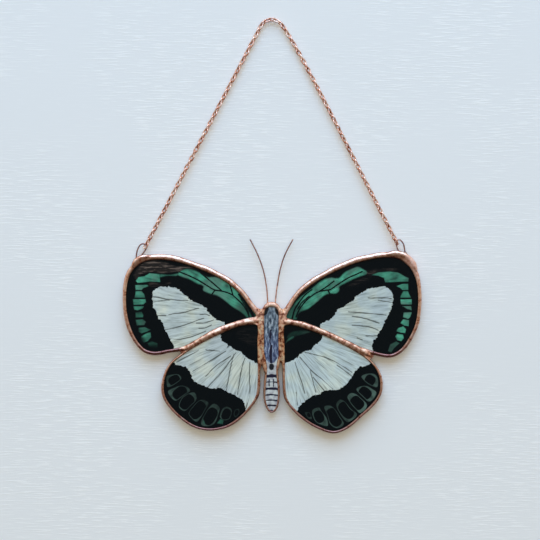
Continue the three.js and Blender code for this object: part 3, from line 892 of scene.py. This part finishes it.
def body_material():
    """Blotchy blue-grey thorax, bluer below, and pale ringed abdomen, brushed lengthways."""
    s = Shader("painted_body")
    at = s.position()
    x, _, z = s.split(at)
    stroke = s.strokes(x, z, *BODY_STROKE)
    cloud = s.noise(at, BLOT_GRAIN, 3)
    blotted = s.minus(cloud, 0.5)
    upper = s.step(z, *levels(THORAX_FADE))
    blue = s.mix(upper, s.ramp(stroke, LOWER_THORAX), s.ramp(stroke, UPPER_THORAX))
    in_blue = s.within("thorax", s.minus(stroke, 0.5), -0.2, 0.2)
    in_line = s.within("line", s.times(blotted, 0.7), -0.10, 0.14)
    in_spot = s.within("spot", s.times(blotted, 0.5), -0.15, 0.2)
    colour = s.mix(in_blue, s.ramp(cloud, ABDOMEN), blue)
    colour = s.mix(in_line, colour, BODY_LINE)
    colour = s.mix(in_spot, colour, BODY_SPOT)
    normal = s.bump(stroke, 0.25, 0.00012)
    return s.finish(Base_Color=colour, Roughness=0.3, Specular_IOR_Level=0.22, Normal=normal)


def filled(outline, spacing):
    """Points and triangles that fill an outline, its own points first."""
    low, high = outline.min(axis=0), outline.max(axis=0)
    rows = np.meshgrid(np.arange(low[0], high[0], spacing), np.arange(low[1], high[1], spacing))
    grid = np.stack(rows, axis=-1).reshape(-1, 2)
    grid = grid[distance_inside(grid, outline) < -0.5 * spacing]
    edges = [(k, (k + 1) % len(outline)) for k in range(len(outline))]
    given = [Vector(p) for p in np.vstack([outline, grid])]
    points, _, faces, *_ = delaunay_2d_cdt(given, edges, [], 1, 1e-6)
    return np.array([p[:] for p in points]), [tuple(face) for face in faces]


def pane_object(name, outline, fields, material):
    """A pane with the same painted fields on its front and back. fields maps points to named values."""
    count = len(outline)
    half = GLASS / 2
    front, front_faces = filled(outline, FRONT_SPACING)
    rear, rear_faces = filled(outline, BACK_SPACING)
    first = len(front)
    verts = [place(x, y, half) for x, y in front] + [place(x, y, -half) for x, y in rear]
    faces = front_faces + [tuple(first + k for k in face[::-1]) for face in rear_faces]
    for k in range(count):
        m = (k + 1) % count
        faces.append((k, first + k, first + m, m))
    obj = new_object(name, verts, faces, material)
    for key, values in fields(np.vstack([front, rear])).items():
        layer = obj.data.attributes.new(key, "FLOAT", "POINT")
        layer.data.foreach_set("value", values.astype(np.float32))
    obj.data.set_sharp_from_angle(angle=math.radians(40))
    return obj


def soft(value, low, high):
    """0 below low, 1 above high and smooth between."""
    t = np.clip((value - low) / (high - low), 0, 1)
    return t * t * (3 - 2 * t)


def ring_field(points, root, outer, oval):
    """Distance to a ring, and how far each point is towards the ring's side away from the wing's root."""
    x, y, half_length, half_width = oval
    out = np.array([x - root[0], y - root[1]])
    hole = distance_inside(points, rounded_box(x, y, half_length, half_width, math.atan2(out[1], out[0])))
    inside = distance_inside(points, curve_through(outer, 60, closed=True))
    ring = np.minimum(np.maximum(inside, -hole), np.abs(inside + RING_HALF) - RING_HALF)
    rel = points - [x, y]
    facing = rel @ out / (np.linalg.norm(rel, axis=1) * np.linalg.norm(out) + 1e-9)
    return ring, facing


def wing_fields(marks, outline):
    """The distances, in mm, that a wing's paint is laid out by."""

    def fields(points):
        nothing = np.full(len(points), FAR)
        dim = soft(-distance_inside(points, outline), *marks["fade"]) if "fade" in marks else 1.0
        near = 0.3 + 0.7 * soft(np.linalg.norm(points - marks["root"], axis=1), *ROOT_FADE)
        layers = []
        for glow, p in marks.get("green", []):
            layers.append((distance_inside(points, curve_through(p, 90, closed=True)), glow * near, 0.0))
        for glow, p in marks["cells"]:
            layers.append(((distance_inside(points, np.array(p)) - CELL_GROW) * CELL_CRISP, glow * dim, 0.0))
        for glow, outer, oval in marks.get("rings", []):
            ring, facing = ring_field(points, marks["root"], outer, oval)
            layers.append((ring * RING_CRISP, glow * (0.95 + 0.2 * facing), 1.0))
        green, glow, ringed = nothing, np.zeros(len(points)), np.zeros(len(points))
        for away, bright, is_ring in layers:
            glow = np.where(away < green, bright, glow)
            ringed = np.where(away < green, is_ring, ringed)
            green = np.minimum(green, away)
        vein, fine, reflection_haze = nothing, nothing, np.zeros(len(points))
        for half, line in marks.get("veins", []):
            vein = np.minimum(vein, distance_to_line(points, curve_through(line, 40)) - half)
        # Patches of the painted reflection of the copper
        for strength, patch in marks.get("reflection_haze", []):
            depth = -distance_inside(points, curve_through(patch, 60, closed=True))
            reflection_haze = np.maximum(reflection_haze, strength * soft(depth, -0.4, 0.9))
        for line in marks["fine"]:
            fine = np.minimum(fine, distance_to_line(points, curve_through(line, 24)) - FINE_HALF)
        white = distance_inside(points, curve_through(marks["white"], 120, closed=True))
        return {
            "white": white, "green": green, "glow": glow, "ring": ringed, "vein": vein, "reflection_haze": reflection_haze,
            "fine": fine,
        }

    return fields


def body_fields(points):
    """The distances, in mm, that the body's paint is laid out by."""
    thorax = distance_inside(points, curve_through(THORAX, 80, closed=True))
    line = np.full(len(points), FAR)
    for ends, half in BODY_LINES:
        line = np.minimum(line, distance_to_line(points, np.array(ends)) - half)
    for y, half in BODY_BANDS:
        across = np.linspace(-BAND_HALF_LENGTH, BAND_HALF_LENGTH, 9)
        band = np.stack([across, y - BAND_DROOP * (across / BAND_HALF_LENGTH) ** 2], axis=1)
        line = np.minimum(line, distance_to_line(points, band) - half)
    spot = np.full(len(points), FAR)
    for oval in BODY_SPOTS:
        spot = np.minimum(spot, distance_inside(points, np.array(oval)))
    return {"thorax": thorax, "line": line, "spot": spot}


def uneven(line, amount, scale, seed):
    """A little hand-made unevenness along a line."""
    return np.array([amount * noise.noise(Vector((p[0] * scale, p[1] * scale, seed))) for p in line])


def tapered(line):
    """Narrowing towards the two ends of a line of even steps."""
    step = np.linalg.norm(line[1] - line[0])
    place_along = np.arange(len(line))
    from_end = step * np.minimum(place_along, place_along[::-1])
    return np.sqrt(np.clip(from_end / END_TAPER, 0.05, 1.0))


def rim_parts(node):
    """The foil round one pane, as a bead along its edge."""
    kind = node.split("_")[0]
    sight = pane_outline(node, RIM_POINTS)
    out = outward(sight)
    upward = np.clip(out[:, 1], 0, 1)
    inside = RIM_INSIDE[kind] + TOP_INSIDE[kind] * upward
    width = inside + RIM_OUTSIDE[kind] + TOP_OUTSIDE[kind] * upward
    width = width * (1 + uneven(sight, *RIM_WAVER))
    sight = sight - out * (LAP + inside)[:, None]
    middle = sight + out * (width / 2)[:, None]
    return tube(middle, width / 2, bead_section(*RIM_SECTION), closed=True)


def fused(parts, material):
    """One mesh of all the parts, run together and smoothed as solder flows."""
    verts, faces = [], []
    for part_verts, part_faces in parts:
        start = len(verts)
        verts += part_verts
        faces += [tuple(start + i for i in face) for face in part_faces]
    rough = new_object("rough_frame", verts, faces, material)
    remesh = rough.modifiers.new("fuse", "REMESH")
    remesh.mode = "VOXEL"
    remesh.voxel_size = VOXEL * MM
    remesh.use_smooth_shade = True
    flow = rough.modifiers.new("flow", "SMOOTH")
    flow.factor, flow.iterations = FLOW
    mesh = bpy.data.meshes.new_from_object(rough.evaluated_get(bpy.context.evaluated_depsgraph_get()))
    bpy.data.objects.remove(rough)
    return mesh


def mark_metal(mesh):
    """Notes on the metal for its colour: where a seam is, and where a rim faces down, for painted shade."""
    co = np.empty(3 * len(mesh.vertices))
    mesh.vertices.foreach_get("co", co)
    flat = co.reshape(-1, 3)[:, [0, 2]] / MM + [0, DROP]
    seam = np.zeros(len(flat))
    for half_width, line in SEAMS:
        away = distance_to_line(flat, curve_through(line, 24)) - half_width
        seam = np.maximum(seam, 1 - soft(away, 0.1, 0.7))
    rims = [pane_outline(node, RIM_POINTS) for node in PANES]
    facing = np.concatenate([outward(rim)[:, 1] for rim in rims])
    points = np.vstack(rims)
    tree = KDTree(len(points))
    for k, p in enumerate(points):
        tree.insert((*p, 0), k)
    tree.balance()
    nearest = [tree.find((*p, 0))[1] for p in flat]
    # Rims that face down get painted shade
    lower = np.clip(-facing[nearest], 0, 1) * (1 - seam)
    for key, values in (("seam", seam), ("lower", lower)):
        mesh.attributes.new(key, "FLOAT", "POINT").data.foreach_set("value", values.astype(np.float32))


def frame_object(material):
    """Foil rims, soldered seams and drops, with the uneven surface of hand-run solder."""
    parts = [rim_parts(node) for node in PANES]
    for half_width, seam in SEAMS + FILLETS:
        line = curve_through(seam, 60)
        half_width = half_width * (1 + uneven(line, *SEAM_WAVER)) * tapered(line)
        parts.append(tube(line, half_width, bead_section(*SEAM_SECTION)))
    parts += [ball(x, y, radius, max(radius, DROP_DEPTH)) for x, y, radius in DROPS]
    mesh = fused(parts, material)
    depth, spacing = DIMPLES
    bent = [v.co + v.normal * (depth * MM * noise.noise(v.co / (spacing * MM))) for v in mesh.vertices]
    mesh.vertices.foreach_set("co", np.array(bent).ravel())
    mesh.update()
    mark_metal(mesh)
    obj = bpy.data.objects.new("copper_foil_frame", mesh)
    bpy.context.collection.objects.link(obj)
    dress(obj, "copper_frame")


def chain_object(material):
    """Oval links, each turned a quarter from the one before, along the chain's route."""
    fine = curve_through(CHAIN_ROUTE, 2000)
    length = np.linalg.norm(np.diff(fine, axis=0), axis=1).sum()
    centres = curve_through(CHAIN_ROUTE, round(length / LINK_PITCH))
    along = np.gradient(centres, axis=0)
    along /= np.linalg.norm(along, axis=1)[:, None]
    around, sides = LINK_STEPS
    half_long = (LINK_PITCH + LINK_WIRE) / 2
    half_wide = (CHAIN_WIDTH - LINK_WIRE) / 2
    amount, pace = LINK_SWAY
    verts, faces = [], []
    for i, (c, t) in enumerate(zip(centres, along)):
        twist = LINK_TWIST + amount * noise.noise(Vector((i * pace, 4.0, 0.0))) + (i % 2) * math.pi / 2
        ahead = Vector((t[0], 0, t[1]))
        side = Vector((t[1], 0, -t[0])) * math.cos(twist) + Vector((0, -1, 0)) * math.sin(twist)
        flat = ahead.cross(side)
        centre = place(*c)
        start = len(verts)
        for k in range(around):
            turn = 2 * math.pi * k / around
            c_turn, s_turn = math.cos(turn), math.sin(turn)
            u = half_long * math.copysign(abs(s_turn) ** LINK_POWER, s_turn)
            v = half_wide * math.copysign(abs(c_turn) ** LINK_POWER, c_turn)
            out = (ahead * (s_turn / half_long) + side * (c_turn / half_wide)).normalized()
            for m in range(sides):
                roll = 2 * math.pi * m / sides
                offset = out * math.cos(roll) + flat * math.sin(roll)
                verts.append(centre + (ahead * u + side * v + offset * (LINK_WIRE / 2)) * MM)
        for k in range(around):
            this = start + k * sides
            after = start + (k + 1) % around * sides
            for m in range(sides):
                q = (m + 1) % sides
                faces.append((this + m, after + m, after + q, this + q))
    chain = new_object("chain_links", verts, faces, material)
    dress(chain, "hang_chain")


def wire_object(name, line, diameter, material):
    """A bent wire in place of its CAD node."""
    verts, faces = tube(curve_through(line, 48), diameter / 2, round_section(diameter / 2))
    dress(new_object(name + "_wire", verts, faces, material), name)


def wing_object(node, marks):
    """A wing's painted pane."""
    wing = node.removesuffix("_glass")
    outline = pane_outline(node, WING_POINTS)
    paint = wing_material(wing + "_paint", marks["root"], marks["pale"])
    dress(pane_object(wing + "_pane", outline, wing_fields(marks, outline), paint), node)


def body_object(node):
    """The body's painted pane."""
    outline = pane_outline(node, BODY_POINTS)
    dress(pane_object("body_pane", outline, body_fields, body_material()), node)


def make_camera():
    """Straight on, framed as the photograph is."""
    camera = bpy.data.objects.new("camera", bpy.data.cameras.new("camera"))
    middle = place(*VIEW_MIDDLE)
    camera.location = (middle.x, -CAMERA_AWAY, middle.z)
    camera.rotation_euler = (math.pi / 2, 0, 0)
    camera.data.sensor_width = SENSOR
    camera.data.lens = SENSOR * CAMERA_AWAY / FIELD
    camera.data.clip_start = 0.01
    bpy.context.collection.objects.link(camera)
    bpy.context.scene.camera = camera


def wall_material():
    """Pale paint in level strokes, seen from its front only, so that the object's back can be looked at."""
    s = Shader("wall")
    at = s.position()
    x, _, z = s.split(at)
    strokes = s.step(s.strokes(x, z, *WALL_STROKE), 0.48, 0.68)
    shown = s.step(s.noise(at, WALL_GRAIN, 2), 0.40, 0.60, 0.1, 1.0)
    relief = s.times(strokes, shown)
    s.finish(Base_Color=s.ramp(relief, WALL_PAINT), Roughness=0.9, Normal=s.bump(relief, 0.25, 0.0002))
    sides = s.node("ShaderNodeMixShader")
    s.put(sides.inputs[0], s.node("ShaderNodeNewGeometry").outputs["Backfacing"])
    s.put(sides.inputs[1], s.surface.outputs[0])
    s.put(sides.inputs[2], s.node("ShaderNodeBsdfTransparent").outputs[0])
    s.put(s.tree.nodes["Material Output"].inputs["Surface"], sides.outputs[0])
    return s.material


def make_wall():
    """The wall that the panel hangs at, leaning as it hangs."""
    corners = []
    for x, up in ((-1, -1), (1, -1), (1, 1), (-1, 1)):
        back = WALL_BEHIND * MM - WALL_LEAN * up * WALL_REACH
        corners.append((x * WALL_REACH, back, place(0, 0).z + up * WALL_REACH))
    wall = new_object("wall", corners, [(0, 1, 2, 3)], wall_material(), smooth=False)
    wall.visible_shadow = False


def area_light(name, location, target, size, power, colour):
    """A soft square lamp."""
    lamp = bpy.data.lights.new(name, "AREA")
    lamp.size = size
    lamp.energy = power
    lamp.color = colour
    obj = bpy.data.objects.new(name, lamp)
    obj.location = location
    obj.rotation_euler = (Vector(target) - Vector(location)).to_track_quat("-Z", "Y").to_euler()
    bpy.context.collection.objects.link(obj)
    return obj


def make_room():
    """Light from all round: bright overhead, dim and warm below, and dark straight in front of the glass."""
    world = bpy.data.worlds.new("room")
    world.use_nodes = True
    tree = world.node_tree
    direction = tree.nodes.new("ShaderNodeTexCoord").outputs["Generated"]
    part = tree.nodes.new("ShaderNodeSeparateXYZ")
    tree.links.new(direction, part.inputs[0])
    height = tree.nodes.new("ShaderNodeMapRange")
    height.inputs["From Min"].default_value = -1.0
    tree.links.new(part.outputs["Z"], height.inputs["Value"])
    sky = tree.nodes.new("ShaderNodeValToRGB")
    fill_ramp(sky.color_ramp, ROOM_LIGHT)
    tree.links.new(height.outputs[0], sky.inputs[0])
    front = tree.nodes.new("ShaderNodeMapRange")
    front.interpolation_type = "SMOOTHSTEP"
    for socket, value in zip(front.inputs[1:5], (*FRONT_RANGE, FRONT_LIGHT, 1.0)):
        socket.default_value = value
    tree.links.new(part.outputs["Y"], front.inputs["Value"])
    background = tree.nodes["Background"]
    tree.links.new(sky.outputs["Color"], background.inputs["Color"])
    tree.links.new(front.outputs[0], background.inputs["Strength"])
    bpy.context.scene.world = world


def make_light():
    """A broad cool lamp above the viewer, a weak warm one in front, and the room."""
    aim = place(*LIGHT_AIM)
    area_light("key", KEY_PLACE, aim, KEY_SIZE, KEY_POWER, KEY_COLOUR)
    fill = area_light("fill", FILL_PLACE, aim, FILL_SIZE, FILL_POWER, FILL_COLOUR)
    fill.visible_glossy = False
    make_room()
    bpy.context.scene.view_settings.view_transform = "Standard"


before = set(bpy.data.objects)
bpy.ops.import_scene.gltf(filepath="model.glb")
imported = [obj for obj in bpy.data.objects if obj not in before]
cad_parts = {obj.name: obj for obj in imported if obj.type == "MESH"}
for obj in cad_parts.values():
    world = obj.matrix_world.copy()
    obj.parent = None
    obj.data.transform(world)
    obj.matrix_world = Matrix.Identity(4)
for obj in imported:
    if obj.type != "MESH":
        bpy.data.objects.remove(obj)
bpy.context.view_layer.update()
make_camera()
chain_object(copper_material("chain_copper", CHAIN_COPPER, speck_share=-0.02, roughness=0.14))
foil = copper_material("copper_foil", FOIL_COPPER, speck_share=0.0, roughness=0.17, soldered=True)
frame_object(foil)
for pane_node, wing_marks in PANES.items():
    if wing_marks:
        wing_object(pane_node, wing_marks)
    else:
        body_object(pane_node)
browned = copper_material("browned_wire", WIRE_COPPER, speck_share=0.01, roughness=0.3, tips=WIRE_TIPS)
for routes, diameter in ((ANTENNAE, ANTENNA_WIRE), (LOOPS, LOOP_WIRE)):
    for wire_node, route in routes.items():
        wire_object(wire_node, route, diameter, browned)
make_wall()
make_light()
